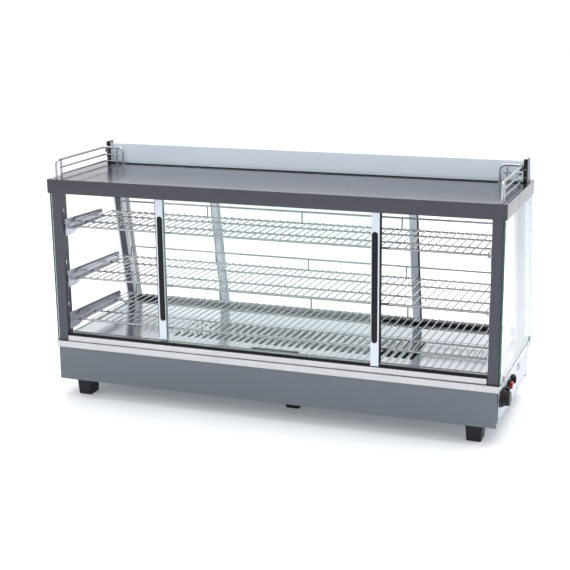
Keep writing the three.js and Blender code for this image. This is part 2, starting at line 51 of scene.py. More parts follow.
MM = 0.001
SLOPE = math.radians(11)  # lean of the rear frame
RIGHT, LEFT = 1, -1
ENDS = (("left", LEFT), ("right", RIGHT))
GUARD_HEIGHT = 28 * MM  # of the shelves' rear guards above their mats
SHELF_PITCH = 20 * MM
GALLERY_RAILS = (615 * MM, 597 * MM)  # heights of the lower rails above the feet


# ---- camera, floor and light
def make_camera():
    data = bpy.data.cameras.new("camera")
    data.sensor_width = 36
    data.lens = 78.155
    camera = bpy.data.objects.new("camera", data)
    camera.location = (1.0927, -2.9744, 1.115)
    camera.rotation_euler = [math.radians(angle) for angle in (75.596, 0.604, 20.545)]
    scene.collection.objects.link(camera)
    scene.camera = camera


def area_light(name, place, target, size, power, colour=(1, 1, 1)):
    data = bpy.data.lights.new(name, "AREA")
    data.shape = "RECTANGLE"
    data.size, data.size_y = size
    data.energy = power
    data.color = colour
    light = bpy.data.objects.new(name, data)
    light.location = place
    light.rotation_euler = (Vector(target) - Vector(place)).to_track_quat("-Z", "Y").to_euler()
    scene.collection.objects.link(light)


def make_world():
    world = bpy.data.worlds.new("studio")
    scene.world = world
    world.use_nodes = True
    tree = world.node_tree
    tree.nodes.clear()
    out = tree.nodes.new("ShaderNodeOutputWorld")
    back = tree.nodes.new("ShaderNodeBackground")
    where = tree.nodes.new("ShaderNodeTexCoord")
    parts = tree.nodes.new("ShaderNodeSeparateXYZ")
    back.inputs["Color"].default_value = (0.97, 0.985, 1, 1)
    tree.links.new(where.outputs["Generated"], parts.inputs[0])
    # the studio is darker in front of the case than behind it
    tree.links.new(remap(tree, parts.outputs["Y"], 0.55, 1.14, -0.9, 0.5), back.inputs["Strength"])
    tree.links.new(back.outputs[0], out.inputs[0])


def make_stage():
    bm = bmesh.new()
    bmesh.ops.create_grid(bm, x_segments=8, y_segments=8, size=14)
    mesh = bpy.data.meshes.new("studio_floor")
    bm.to_mesh(mesh)
    bm.free()
    material, tree, bsdf = new_material("studio_floor")
    tint = noise_colour(tree, (0.93, 0.935, 0.94), 0.012, 3)
    tree.links.new(tint, bsdf.inputs["Base Color"])
    bsdf.inputs["Roughness"].default_value = 0.55
    bsdf.inputs["Specular IOR Level"].default_value = 0.2
    bsdf.inputs["Emission Color"].default_value = (0.86, 0.92, 1, 1)
    bsdf.inputs["Emission Strength"].default_value = 0.18
    mesh.materials.append(material)
    floor = bpy.data.objects.new("studio_floor", mesh)
    scene.collection.objects.link(floor)

    area_light("overhead_softbox", (0.1, 0.5, 2.6), (0, 0, 0.3), (3.2, 1.9), 62)
    area_light("right_softbox", (3.2, 0.4, 1.3), (0.4, 0, 0.2), (1.6, 2.6), 26)
    area_light("front_fill", (-1.6, -3.0, 2.2), (0, 0, 0.3), (2.4, 1.8), 31)
    scene.view_settings.view_transform = "Standard"


# ---- material helpers
def new_material(name):
    material = bpy.data.materials.new(name)
    material.use_nodes = True
    tree = material.node_tree
    tree.nodes.clear()
    out = tree.nodes.new("ShaderNodeOutputMaterial")
    bsdf = tree.nodes.new("ShaderNodeBsdfPrincipled")
    tree.links.new(bsdf.outputs[0], out.inputs[0])
    return material, tree, bsdf


def noise(tree, scale, detail=2.0, roughness=0.5):
    """Noise in the piece's own metres. scale is in features per metre, one number or one for each axis."""
    where = tree.nodes.new("ShaderNodeTexCoord")
    mapping = tree.nodes.new("ShaderNodeMapping")
    mapping.inputs["Scale"].default_value = scale if isinstance(scale, tuple) else (scale, scale, scale)
    texture = tree.nodes.new("ShaderNodeTexNoise")
    texture.inputs["Scale"].default_value = 1
    texture.inputs["Detail"].default_value = detail
    texture.inputs["Roughness"].default_value = roughness
    tree.links.new(where.outputs["Object"], mapping.inputs["Vector"])
    tree.links.new(mapping.outputs["Vector"], texture.inputs["Vector"])
    return texture.outputs["Fac"]


def remap(tree, value, low, high, start=0.3, end=0.7):
    """Stretches the values from start to end over the range from low to high."""
    ranged = tree.nodes.new("ShaderNodeMapRange")
    for name, limit in (("From Min", start), ("From Max", end), ("To Min", low), ("To Max", high)):
        ranged.inputs[name].default_value = limit
    tree.links.new(value, ranged.inputs["Value"])
    return ranged.outputs["Result"]


def blend_colours(tree, factor, first, second):
    mix = tree.nodes.new("ShaderNodeMix")
    mix.data_type = "RGBA"
    tree.links.new(factor, mix.inputs["Factor"])
    for socket, colour in ((mix.inputs["A"], first), (mix.inputs["B"], second)):
        if isinstance(colour, (tuple, list)):
            socket.default_value = (*colour, 1)
        else:
            tree.links.new(colour, socket)
    return mix.outputs["Result"]


def noise_colour(tree, colour, amount, scale, detail=3.0):
    dark = tuple(c * (1 - amount) for c in colour)
    light = tuple(min(1, c * (1 + amount)) for c in colour)
    factor = remap(tree, noise(tree, scale, detail), 0, 1)
    return blend_colours(tree, factor, dark, light)


def vary_roughness(tree, bsdf, scale, low, high, detail=2.0, fineness=0.5):
    marks = remap(tree, noise(tree, scale, detail, fineness), low, high)
    tree.links.new(marks, bsdf.inputs["Roughness"])


def let_light_through(tree, bsdf, tint):
    """Mixes bsdf with a transparent shader, and returns the socket that holds bsdf's share."""
    out = next(node for node in tree.nodes if node.type == "OUTPUT_MATERIAL")
    clear = tree.nodes.new("ShaderNodeBsdfTransparent")
    clear.inputs["Color"].default_value = (*tint, 1)
    mix = tree.nodes.new("ShaderNodeMixShader")
    tree.links.new(clear.outputs[0], mix.inputs[1])
    tree.links.new(bsdf.outputs[0], mix.inputs[2])
    tree.links.new(mix.outputs[0], out.inputs[0])
    return mix.inputs["Fac"]


def add_bump(tree, bsdf, height, strength, distance, below=None):
    bump = tree.nodes.new("ShaderNodeBump")
    bump.inputs["Strength"].default_value = strength
    bump.inputs["Distance"].default_value = distance
    tree.links.new(height, bump.inputs["Height"])
    if below is not None:
        tree.links.new(below, bump.inputs["Normal"])
    tree.links.new(bump.outputs["Normal"], bsdf.inputs["Normal"])
    return bump.outputs["Normal"]


# ---- materials
def stoved_paint(name, colour, roughness, coat=0.0, peel=0.12):
    """Sheet steel paint: fine orange peel, slight cloudiness and faint wipe marks."""
    material, tree, bsdf = new_material(name)
    cloud = noise_colour(tree, colour, 0.06, 5)
    grain = noise_colour(tree, colour, 0.10, 900, 1)
    mixed = blend_colours(tree, remap(tree, noise(tree, 40), 0.2, 0.5), cloud, grain)
    tree.links.new(mixed, bsdf.inputs["Base Color"])
    vary_roughness(tree, bsdf, (3, 14, 14), roughness - 0.03, roughness + 0.06, 4, 0.6)
    bsdf.inputs["Coat Weight"].default_value = coat
    bsdf.inputs["Coat Roughness"].default_value = 0.06
    add_bump(tree, bsdf, noise(tree, 650, 1), peel, 0.00006)
    return material


def brushed_steel(name, colour, roughness, along="x", strength=0.10, smudges=1.0):
    """Stainless sheet with its grain along x or y, fingerprints and a few long scratches."""
    material, tree, bsdf = new_material(name)
    grain_scale = {"x": (14, 2600, 2600), "y": (2600, 14, 2600)}[along]
    scratch_scale = {"x": (3, 420, 420), "y": (420, 3, 420)}[along]
    grain = noise(tree, grain_scale, 3, 0.6)
    tone = noise_colour(tree, colour, 0.05, 7)
    lined = noise_colour(tree, colour, 0.10, grain_scale)
    shade = blend_colours(tree, remap(tree, noise(tree, 2), 0.35, 0.65), tone, lined)
    tree.links.new(shade, bsdf.inputs["Base Color"])
    bsdf.inputs["Metallic"].default_value = 1
    vary_roughness(tree, bsdf, 16, roughness - 0.05 * smudges, roughness + 0.09 * smudges, 4, 0.65)
    bsdf.inputs["Anisotropic"].default_value = 0.4
    scratches = remap(tree, noise(tree, scratch_scale, 2), 0, 1, 0.62, 0.75)
    first = add_bump(tree, bsdf, grain, strength, 0.00008)
    add_bump(tree, bsdf, scratches, 0.08, 0.00005, first)
    return material


def bright_metal(name, colour, roughness, ripple=0.05):
    """Plated or polished metal with a slightly uneven surface."""
    material, tree, bsdf = new_material(name)
    tree.links.new(noise_colour(tree, colour, 0.06, 60), bsdf.inputs["Base Color"])
    bsdf.inputs["Metallic"].default_value = 1
    vary_roughness(tree, bsdf, 90, roughness - 0.03, roughness + 0.08, 3)
    add_bump(tree, bsdf, noise(tree, 400, 2), ripple, 0.0001)
    return material


def anodised(name, colour, roughness):
    """Extruded aluminium with faint die lines along its length."""
    material, tree, bsdf = new_material(name)
    die_lines = (1500, 1500, 2)
    tree.links.new(noise_colour(tree, colour, 0.05, die_lines), bsdf.inputs["Base Color"])
    bsdf.inputs["Metallic"].default_value = 0.75
    vary_roughness(tree, bsdf, (20, 20, 8), roughness - 0.04, roughness + 0.06, 3)
    add_bump(tree, bsdf, noise(tree, die_lines, 2), 0.10, 0.00005)
    return material


def moulded(name, colour, roughness, grain=0.18, scale=1400, shine=0.5):
    """Moulded plastic or rubber with a fine spark texture and handling marks."""
    material, tree, bsdf = new_material(name)
    bsdf.inputs["Specular IOR Level"].default_value = shine
    tree.links.new(noise_colour(tree, colour, 0.22, 45, 4), bsdf.inputs["Base Color"])
    vary_roughness(tree, bsdf, 70, roughness - 0.07, roughness + 0.1, 3)
    add_bump(tree, bsdf, noise(tree, scale, 1), grain, 0.00008)
    return material


def clear_pane(name, tint, straight_on, glancing):
    """A sheet face that lets light straight through and mirrors more at a shallow angle."""
    material, tree, bsdf = new_material(name)
    facing = tree.nodes.new("ShaderNodeLayerWeight")
    facing.inputs["Blend"].default_value = 0.5
    curve = tree.nodes.new("ShaderNodeMath")
    curve.operation = "POWER"
    curve.inputs[1].default_value = 3
    tree.links.new(facing.outputs["Facing"], curve.inputs[0])
    share = remap(tree, curve.outputs[0], straight_on, glancing, 0, 1)
    smear = noise(tree, 7, 4, 0.6)
    marked = tree.nodes.new("ShaderNodeMath")
    marked.operation = "MULTIPLY_ADD"
    marked.inputs[1].default_value = 0.012
    tree.links.new(smear, marked.inputs[0])
    tree.links.new(share, marked.inputs[2])
    tree.links.new(noise_colour(tree, (0.90, 0.93, 0.96), 0.02, 5), bsdf.inputs["Base Color"])
    bsdf.inputs["Metallic"].default_value = 1
    tree.links.new(remap(tree, smear, 0.01, 0.05), bsdf.inputs["Roughness"])
    tree.links.new(marked.outputs[0], let_light_through(tree, bsdf, tint))
    return material


def glass_edge(name, colour):
    """The ground edge of float glass, where its green shows."""
    material, tree, bsdf = new_material(name)
    tree.links.new(noise_colour(tree, colour, 0.35, 60, 4), bsdf.inputs["Base Color"])
    vary_roughness(tree, bsdf, 200, 0.12, 0.3)
    bsdf.inputs["Coat Weight"].default_value = 0.4
    add_bump(tree, bsdf, noise(tree, 500, 1), 0.1, 0.00008)
    return material


def translucent_sheet(name, colour, clear_share):
    """Pale tinted sheet that passes part of the light."""
    material, tree, bsdf = new_material(name)
    tree.links.new(noise_colour(tree, colour, 0.03, (4, 4, 12)), bsdf.inputs["Base Color"])
    vary_roughness(tree, bsdf, 9, 0.06, 0.16, 4)
    let_light_through(tree, bsdf, (0.93, 0.97, 1)).default_value = 1 - clear_share
    return material


PAINT_COVER = stoved_paint("cover_paint", (0.031, 0.032, 0.046), 0.16, 0.26, 0.03)
PAINT_FRAME = stoved_paint("frame_paint", (0.048, 0.050, 0.071), 0.36, 0.12)
PAINT_BASE = stoved_paint("base_paint", (0.122, 0.139, 0.165), 0.38, 0.1)
STEEL_X = brushed_steel("steel_grain_along_x", (0.50, 0.50, 0.51), 0.28, "x")
STEEL_SIDE = brushed_steel("side_panel_steel", (0.34, 0.36, 0.41), 0.24, "y", 0.01, 0.4)
STEEL_ARM = brushed_steel("arm_steel", (0.62, 0.63, 0.69), 0.34, "y", 0.01, 0.4)
STEEL_FLOOR = brushed_steel("floor_steel", (0.64, 0.66, 0.70), 0.13, "y", 0.01, 0.3)
# painted shade: a near-black copy of the stainless, for the bottom plate, the rear sill, the floor seam and
# the hand hold scoop, which lie in shade
STEEL_PAINTED_SHADE = brushed_steel("steel_painted_shade", (0.11, 0.12, 0.14), 0.30, "x")
CHROME = bright_metal("chrome_wire", (0.38, 0.39, 0.40), 0.16)
CHROME_RAIL = bright_metal("gallery_chrome", (0.44, 0.45, 0.47), 0.12)
SCREW = bright_metal("screw_steel", (0.36, 0.36, 0.38), 0.22)
SPRING = bright_metal("spring_steel", (0.17, 0.17, 0.19), 0.26)
ALUMINIUM = anodised("anodised_aluminium", (0.62, 0.66, 0.74), 0.32)
ALUMINIUM_GREY = anodised("grey_aluminium", (0.40, 0.42, 0.45), 0.38)
ALUMINIUM_DULL = anodised("dull_aluminium", (0.22, 0.23, 0.25), 0.40)
BRACKET = stoved_paint("bracket_paint", (0.13, 0.13, 0.155), 0.40)
BLACK = moulded("black_plastic", (0.009, 0.009, 0.011), 0.48, 0.18, 1400, 0.25)
HANDLE = moulded("handle_plastic", (0.005, 0.005, 0.008), 0.30, 0.05, 1400, 0.24)
SOFT_BLACK = moulded("seal_rubber", (0.008, 0.008, 0.010), 0.6, 0.25, 900, 0.2)
BEDDING = moulded("glass_bedding", (0.22, 0.23, 0.27), 0.5, 0.1, 900, 0.3)
FOOT = moulded("foot_rubber", (0.010, 0.010, 0.013), 0.5, 0.3, 800, 0.3)
KNOB_GREY = moulded("bezel_plastic", (0.040, 0.043, 0.058), 0.42, 0.1, 1400, 0.3)
PLATE = stoved_paint("control_plate_film", (0.38, 0.42, 0.48), 0.28)
PRINT = moulded("printed_mark", (0.05, 0.05, 0.06), 0.5, 0.02)
RED = moulded("red_lens", (0.55, 0.012, 0.02), 0.2, 0.04)
LAMP = moulded("lamp_glass", (0.93, 0.93, 0.90), 0.16, 0.02)
SHEATH = bright_metal("heater_sheath", (0.20, 0.17, 0.15), 0.42, 0.2)
PHENOLIC = moulded("phenolic", (0.36, 0.27, 0.17), 0.5, 0.3, 700)
PANE_LEFT = clear_pane("left_glass_face", (0.985, 0.993, 0.990), 0.02, 0.16)
PANE_RIGHT = clear_pane("right_glass_face", (0.972, 0.978, 0.992), 0.03, 0.6)
PANE_DOOR = clear_pane("door_glass_face", (0.982, 0.994, 0.991), 0.025, 0.5)
EDGE_DARK = glass_edge("side_glass_edge", (0.010, 0.080, 0.045))
EDGE_PALE = glass_edge("door_glass_edge", (0.12, 0.28, 0.23))
EDGE_REAR = glass_edge("rear_glass_edge", (0.55, 0.66, 0.64))
HEADER_SHEET = translucent_sheet("header_sheet", (0.77, 0.81, 0.87), 0.42)


# ---- mesh helpers
def finish_piece(name, bm, materials, body="case", stands_for=(), sharp=38):
    """Turns bm into a shaded piece that rides on a body and stands for CAD nodes."""
    bmesh.ops.remove_doubles(bm, verts=bm.verts, dist=1e-6)
    bmesh.ops.recalc_face_normals(bm, faces=bm.faces)
    mesh = bpy.data.meshes.new(name)
    bm.to_mesh(mesh)
    bm.free()
    for material in materials if isinstance(materials, (list, tuple)) else [materials]:
        mesh.materials.append(material)
    mesh.polygons.foreach_set("use_smooth", [True] * len(mesh.polygons))
    mesh.set_sharp_from_angle(angle=math.radians(sharp))
    piece = bpy.data.objects.new(name, mesh)
    scene.collection.objects.link(piece)
    weighted = piece.modifiers.new("even_normals", "WEIGHTED_NORMAL")
    weighted.keep_sharp = True
    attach(piece, body)
    if stands_for:
        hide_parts(*stands_for)


def bevel_sharp(bm, width, segments=2, angle=30):
    edges = [e for e in bm.edges if len(e.link_faces) == 2 and e.calc_face_angle() > math.radians(angle)]
    bmesh.ops.bevel(bm, geom=edges, offset=width * MM, offset_type="OFFSET", segments=segments,
                    profile=0.5, affect="EDGES", clamp_overlap=True)


def cad_copy(node):
    """The CAD node's own solid, with its triangles joined back into flat faces."""
    bm = bmesh.new()
    bm.from_mesh(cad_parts[node].data)
    bmesh.ops.remove_doubles(bm, verts=bm.verts, dist=1e-5)
    bmesh.ops.dissolve_limit(bm, angle_limit=math.radians(1), verts=bm.verts, edges=bm.edges)
    return bm


def refined(node, material, width, segments, body="case"):
    """A CAD solid with its edges broken, as the folded, cut or moulded part has them."""
    bm = cad_copy(node)
    bevel_sharp(bm, width, segments)
    finish_piece(node + "_finished", bm, material, body, [node])


def end_x(box, side):
    """x of the left or right end of a box."""
    low, high = box
    return high.x if side == RIGHT else low.x


PLANES = {"x": (1, 2, 0), "y": (0, 2, 1), "z": (0, 1, 2)}


def add_prism(bm, outline, axis, low, high, holes=()):
    """Adds a closed prism: a flat outline with holes, swept along an axis. Metres."""
    first, second, along = PLANES[axis]

    def vertex(point, level):
        place = [0.0, 0.0, 0.0]
        place[first], place[second], place[along] = point[0], point[1], level
        return bm.verts.new(place)

    rings = [([vertex(p, low) for p in loop], [vertex(p, high) for p in loop])
             for loop in (outline, *holes)]
    edges = []
    for bottom, _ in rings:
        edges += [bm.edges.new((bottom[i - 1], bottom[i])) for i in range(len(bottom))]
    filled = bmesh.ops.triangle_fill(bm, use_beauty=True, use_dissolve=False, edges=edges)
    over = {b: t for bottom, top in rings for b, t in zip(bottom, top)}
    caps = [f for f in filled["geom"] if isinstance(f, bmesh.types.BMFace)]
    for face in caps:
        bm.faces.new([over[v] for v in face.verts])
    for bottom, top in rings:
        for i in range(len(bottom)):
            bm.faces.new((bottom[i - 1], bottom[i], top[i], top[i - 1]))


def rectangle(a0, a1, b0, b1):
    return [(a0, b0), (a1, b0), (a1, b1), (a0, b1)]


def rounded(a0, a1, b0, b1, radius, steps=5):
    """A rectangle with round corners."""
    points = []
    corners = ((a1 - radius, b1 - radius, 0), (a0 + radius, b1 - radius, 90),
               (a0 + radius, b0 + radius, 180), (a1 - radius, b0 + radius, 270))
    for a, b, start in corners:
        for i in range(steps + 1):
            turn = math.radians(start + 90 * i / steps)
            points.append((a + radius * math.cos(turn), b + radius * math.sin(turn)))
    return points


def circle(a, b, radius, steps=24):
    return [(a + radius * math.cos(2 * math.pi * i / steps), b + radius * math.sin(2 * math.pi * i / steps))
            for i in range(steps)]


def add_block(bm, x0, x1, y0, y1, z0, z1):
    add_prism(bm, rectangle(x0, x1, y0, y1), "z", z0, z1)


def add_tube(bm, points, radius, sides=10):
    """A round bar along a line of points, with eased ends."""
    points = [Vector(p) for p in points]
    ways = [(b - a).normalized() for a, b in zip(points, points[1:])]
    ease = min(0.35 * radius, 0.3 * min((points[1] - points[0]).length, (points[-1] - points[-2]).length))
    stations = [(points[0], ways[0], 0.72), (points[0] + ways[0] * ease, ways[0], 1)]
    stations += [(p, (a + b).normalized(), 1) for p, a, b in zip(points[1:-1], ways, ways[1:])]
    stations += [(points[-1] - ways[-1] * ease, ways[-1], 1), (points[-1], ways[-1], 0.72)]
    side = ways[0].orthogonal().normalized()
    rings = []
    for centre, way, share in stations:
        side = (side - way * side.dot(way)).normalized()
        other = way.cross(side)
        rings.append([bm.verts.new(centre + (side * math.cos(t) + other * math.sin(t)) * radius * share)
                      for t in (2 * math.pi * i / sides for i in range(sides))])
    for near, far in zip(rings, rings[1:]):
        for i in range(sides):
            bm.faces.new((near[i - 1], near[i], far[i], far[i - 1]))
    bm.faces.new(rings[0])
    bm.faces.new(list(reversed(rings[-1])))


def bent(points, radius, steps=7):
    """The centre line of a wire with round bends at its inner points."""
    points = [Vector(p) for p in points]
    route = [points[0]]
    for before, corner, after in zip(points, points[1:], points[2:]):
        arriving, leaving = (before - corner).normalized(), (after - corner).normalized()
        half = arriving.angle(leaving) / 2
        centre = corner + (arriving + leaving).normalized() * radius / math.sin(half)
        start = corner + arriving * radius / math.tan(half) - centre
        end = corner + leaving * radius / math.tan(half) - centre
        turn = [start.normalized().slerp(end.normalized(), i / steps) for i in range(steps + 1)]
        route += [centre + way * radius for way in turn]
    return route + [points[-1]]


def turned_rings(bm, profile, origin, axis, steps):
    """A circle of vertices for each (radius, distance along axis) in mm; one vertex where radius is 0."""
    way = Vector(axis).normalized()
    side = way.orthogonal().normalized()
    other = way.cross(side)
    rings = []
    for radius, along in profile:
        centre = Vector(origin) + way * (along * MM)
        turns = [2 * math.pi * i / steps for i in range(steps)] if radius else [0]
        rings.append([bm.verts.new(centre + (side * math.cos(t) + other * math.sin(t)) * (radius * MM))
                      for t in turns])
    return rings


def add_lathe(bm, profile, origin, axis, steps):
    """A turned part, whose profile starts and ends on the axis."""
    rings = turned_rings(bm, profile, origin, axis, steps)
    for near, far in zip(rings, rings[1:]):
        for i in range(steps):
            if len(near) == 1:
                corners = [near[0], far[i], far[i - 1]]
            elif len(far) == 1:
                corners = [near[i - 1], near[i], far[0]]
            else:
                corners = [near[i - 1], near[i], far[i], far[i - 1]]
            bm.faces.new(corners)


def add_ring(bm, profile, origin, axis, steps):
    """A turned ring, whose profile closes on itself."""
    rings = turned_rings(bm, profile, origin, axis, steps)
    for j, near in enumerate(rings):
        far = rings[(j + 1) % len(rings)]
        for i in range(steps):
            bm.faces.new((near[i - 1], near[i], far[i], far[i - 1]))


def add_screw(bm, place, axis, radius=3.4):
    """A pan head screw with a cross recess, standing on a face."""
    profile = [(0, 0), (radius, 0), (radius, 0.7), (radius * 0.86, 1.5), (radius * 0.5, 1.9),
               (radius * 0.42, 1.3), (0, 1.3)]
    add_lathe(bm, profile, place, axis, 16)


def add_loft(bm, sections):
    """Closed rings of points joined in order, capped at both ends."""
    rings = [[bm.verts.new(p) for p in section] for section in sections]
    for near, far in zip(rings, rings[1:]):
        for i in range(len(near)):
            bm.faces.new((near[i - 1], near[i], far[i], far[i - 1]))
    bm.faces.new(rings[0])
    bm.faces.new(list(reversed(rings[-1])))


# ---- base
def make_foot(node):
    low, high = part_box(node)
    centre = (low + high) / 2
    half_top = (high.x - low.x) / 2
    bm = bmesh.new()
    height = high.z - low.z
    # share of the half width, share of the half depth, share of the height and corner radius, sole to top
    steps = ((0.50, 0.55, 0.10, 1.5), (0.55, 0.60, 0.0, 1.5), (0.70, 0.84, 0.0, 2), (0.74, 0.88, 0.02, 2),
             (0.76, 0.90, 0.09, 2), (0.87, 0.98, 0.84, 2), (0.90, 1.0, 0.87, 2), (0.90, 1.0, 0.985, 2),
             (0.88, 0.98, 1.0, 2))
    sections = []
    for width, depth, level, radius in steps:
        across, along = half_top * width, half_top * depth
        outline = rounded(-across, across, -along, along, radius * MM, 4)
        sections.append([(centre.x + a, centre.y + b, low.z + height * level) for a, b in outline])
    add_loft(bm, sections)
    finish_piece(node + "_moulding", bm, FOOT, stands_for=[node])


def make_base():
    refined("base_front_panel", PAINT_BASE, 0.8, 3)
    for side in ("left", "right"):
        refined(f"base_{side}_panel", STEEL_SIDE, 0.7, 2)
    refined("base_rear_panel", STEEL_X, 0.5, 1)
    refined("base_bottom_plate", STEEL_PAINTED_SHADE, 0.4, 1)
    refined("deck_rim", STEEL_X, 0.9, 3)
    refined("front_sill", STEEL_X, 0.8, 2)
    refined("rear_sill", STEEL_PAINTED_SHADE, 0.8, 2)
    for place in ("front_left", "front_right", "middle", "rear_left", "rear_right"):
        make_foot(f"{place}_foot")
    make_gland()
    make_base_screws()
    make_glass_clips()


def make_gland():
    low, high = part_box("cable_gland")
    centre = (low + high) / 2
    x, z = centre.x, centre.z
    bm = bmesh.new()
    body = [(0, 0), (7.6, 0), (7.6, 15.2), (11.4, 15.2), (11.9, 15.8), (11.9, 19.6), (11.2, 20.4),
            (9.2, 20.8), (9.2, 21.6), (8.4, 23.2), (6.6, 23.9), (5.2, 23.9), (4.6, 22), (4.4, 16), (0, 16)]
    add_lathe(bm, body, (x, low.y, z), (0, 1, 0), 36)
    finish_piece("cable_gland_body", bm, BLACK, stands_for=["cable_gland"])
    nut = bmesh.new()
    add_prism(nut, circle(x, z, 11.3 * MM, 6), "y", low.y + 15.4 * MM, low.y + 19.2 * MM)
    bevel_sharp(nut, 0.5)
    finish_piece("cable_gland_nut", nut, BLACK)


def make_base_screws():
    low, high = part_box("base_rear_panel")
    rim_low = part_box("deck_rim")[0]
    lean = (high.y - low.y) / (high.z - low.z)
    bm = bmesh.new()
    for share in (0.02, 0.27, 0.5, 0.73, 0.98):
        x = low.x + (high.x - low.x) * share
        for z in (low.z + 9 * MM, rim_low.z - 9 * MM):
            face = low.y + 2 * MM + (z - low.z) * lean
            add_screw(bm, (x, face - 0.1 * MM, z), (0, 1, -lean))
    for name, side in ENDS:
        side_low, side_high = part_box(f"base_{name}_panel")
        face = end_x((side_low, side_high), side)
        for y in (side_low.y + 14 * MM, side_high.y - 40 * MM):
            add_screw(bm, (face, y, side_low.z + 8 * MM), (side, 0, 0), 3)
    finish_piece("base_screws", bm, SCREW)


def make_glass_clips():
    """Folded spring clips: at each end two hold the side glass to the rim, and one the base panel."""
    rim_low, rim_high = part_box("deck_rim")
    plate_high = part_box("control_plate")[1]
    for name, side in ENDS:
        pane = end_x(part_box(f"{name}_side_glass"), side)
        panel = end_x(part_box(f"base_{name}_panel"), side)
        low = rim_low.z - 1 * MM  # the foot of the clip stays above the thermostat knob
        places = (
            (rim_low.y + 47 * MM, low, rim_high.z + 11 * MM, pane),
            (plate_high.y + 4 * MM, plate_high.z - 22 * MM, plate_high.z + 1 * MM, panel + side * 2 * MM),
            (rim_high.y - 43 * MM, low, rim_high.z + 11 * MM, pane),
        )
        bm = bmesh.new()
        for y, z0, z1, face in places:
            inner, outer = face + side * 0.2 * MM, face + side * 1.3 * MM
            bulge = face + side * 3.4 * MM
            hollow = bulge - side * 1.1 * MM
            profile = [(inner, z1), (outer, z1), (outer, z1 - 7 * MM), (bulge, z1 - 12 * MM),
                       (bulge, z0 + 3 * MM), (outer, z0), (inner, z0 + 0.6 * MM), (hollow, z0 + 4 * MM),
                       (hollow, z1 - 12.6 * MM), (inner, z1 - 8 * MM)]
            add_prism(bm, profile, "y", y - 3.5 * MM, y + 3.5 * MM)
        bevel_sharp(bm, 0.3, 1, 60)
        finish_piece(f"{name}_end_clips", bm, SPRING)


def make_interior_floor():
    """Floor tray pressed from sheet: two rows of air slots, a hand hold and a turned down rim."""
    low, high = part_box("interior_floor")
    sheet = 2 * MM
    slot_count, pitch, half = 33, 20.2 * MM, 5 * MM
    first = low.x + 270 * MM
    rows = ((low.y + 54 * MM, low.y + 112 * MM), (low.y + 133 * MM, low.y + 208 * MM))
    holes = []
    for i in range(slot_count):
        x = first + i * pitch
        for y0, y1 in rows:
            holes.append(rounded(x - half, x + half, y0, y1, 4.4 * MM, 4))
    hold = rounded(low.x + 505 * MM, low.x + 635 * MM, low.y + 4 * MM, low.y + 27 * MM, 6 * MM)
    whole = rectangle(low.x, high.x, low.y, high.y)
    bm = bmesh.new()
    add_prism(bm, whole, "z", high.z - sheet, high.z, [*holes, hold])
    bevel_sharp(bm, 0.5, 1)
    finish_piece("floor_sheet", bm, STEEL_FLOOR, stands_for=["interior_floor"])

    wall = bmesh.new()
    inner = rectangle(low.x + sheet, high.x - sheet, low.y + sheet, high.y - sheet)
    add_prism(wall, whole, "z", low.z, high.z - sheet - 0.02 * MM, [inner])
    finish_piece("floor_sheet_rim", wall, STEEL_FLOOR)

    seam = bmesh.new()
    seam_y = low.y + 229 * MM
    line = rounded(low.x + 8 * MM, high.x - 8 * MM, seam_y, seam_y + 2.6 * MM, 0.5 * MM, 2)
    add_prism(seam, line, "z", high.z - 0.3 * MM, high.z + 0.25 * MM)
    finish_piece("floor_sheet_seam", seam, STEEL_PAINTED_SHADE)

    # the scoop under the hand hold is near-black: painted shade in the recess
    scoop = bmesh.new()
    dish = rounded(low.x + 503 * MM, low.x + 637 * MM, low.y + 3 * MM, low.y + 29 * MM, 7 * MM)
    add_prism(scoop, dish, "z", high.z - 13 * MM, high.z - 11.5 * MM)
    finish_piece("hand_hold_scoop", scoop, STEEL_PAINTED_SHADE)


# ---- heater and controls
def make_heater():
    refined("heating_element", SHEATH, 0.2, 1)
    refined("thermostat_body", PHENOLIC, 1.0, 2)


def grown(low, high, edge):
    """The four limits of a box's Y and Z, moved outward by edge."""
    return low.y - edge, high.y + edge, low.z - edge, high.z + edge


def make_controls():
    """Control plate on the right end, with a thin black frame round it that paints the shadow of the gap at
    its edge, and its thermostat, switches and screws.
    """
    low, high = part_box("control_plate")
    refined("control_plate", PLATE, 0.4, 2)
    face = high.x
    # painted shadow: the thin black frame round the plate stands for the shadow in the gap at its edge
    shadow_gap_frame = bmesh.new()
    edge = 1.1 * MM
    hole = rectangle(*grown(low, high, 0.1 * MM))
    add_prism(shadow_gap_frame, rounded(*grown(low, high, edge), edge), "x", low.x + 0.1 * MM, low.x + 0.9 * MM, [hole])
    finish_piece("control_plate_painted_shadow_gap", shadow_gap_frame, SOFT_BLACK)

    knob_low, knob_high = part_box("thermostat_knob")
    centre = (knob_low + knob_high) / 2
    y, z = centre.y, centre.z
    make_dial_print(face, y, z)
    make_knob(face, y, z)

    for name, material, slot in (("light_switch", BLACK, "black_switch"), ("power_switch", RED, "red_switch"),
                                 ("heater_switch", BLACK, "black_switch")):
        make_switch(name, material, face)

    screws = bmesh.new()
    for screw_y in (low.y + 6 * MM, high.y - 6 * MM):
        for screw_z in (low.z + 6 * MM, high.z - 6 * MM):
            add_screw(screws, (face, screw_y, screw_z), (1, 0, 0), 2.6)
    finish_piece("control_plate_screws", screws, SCREW)


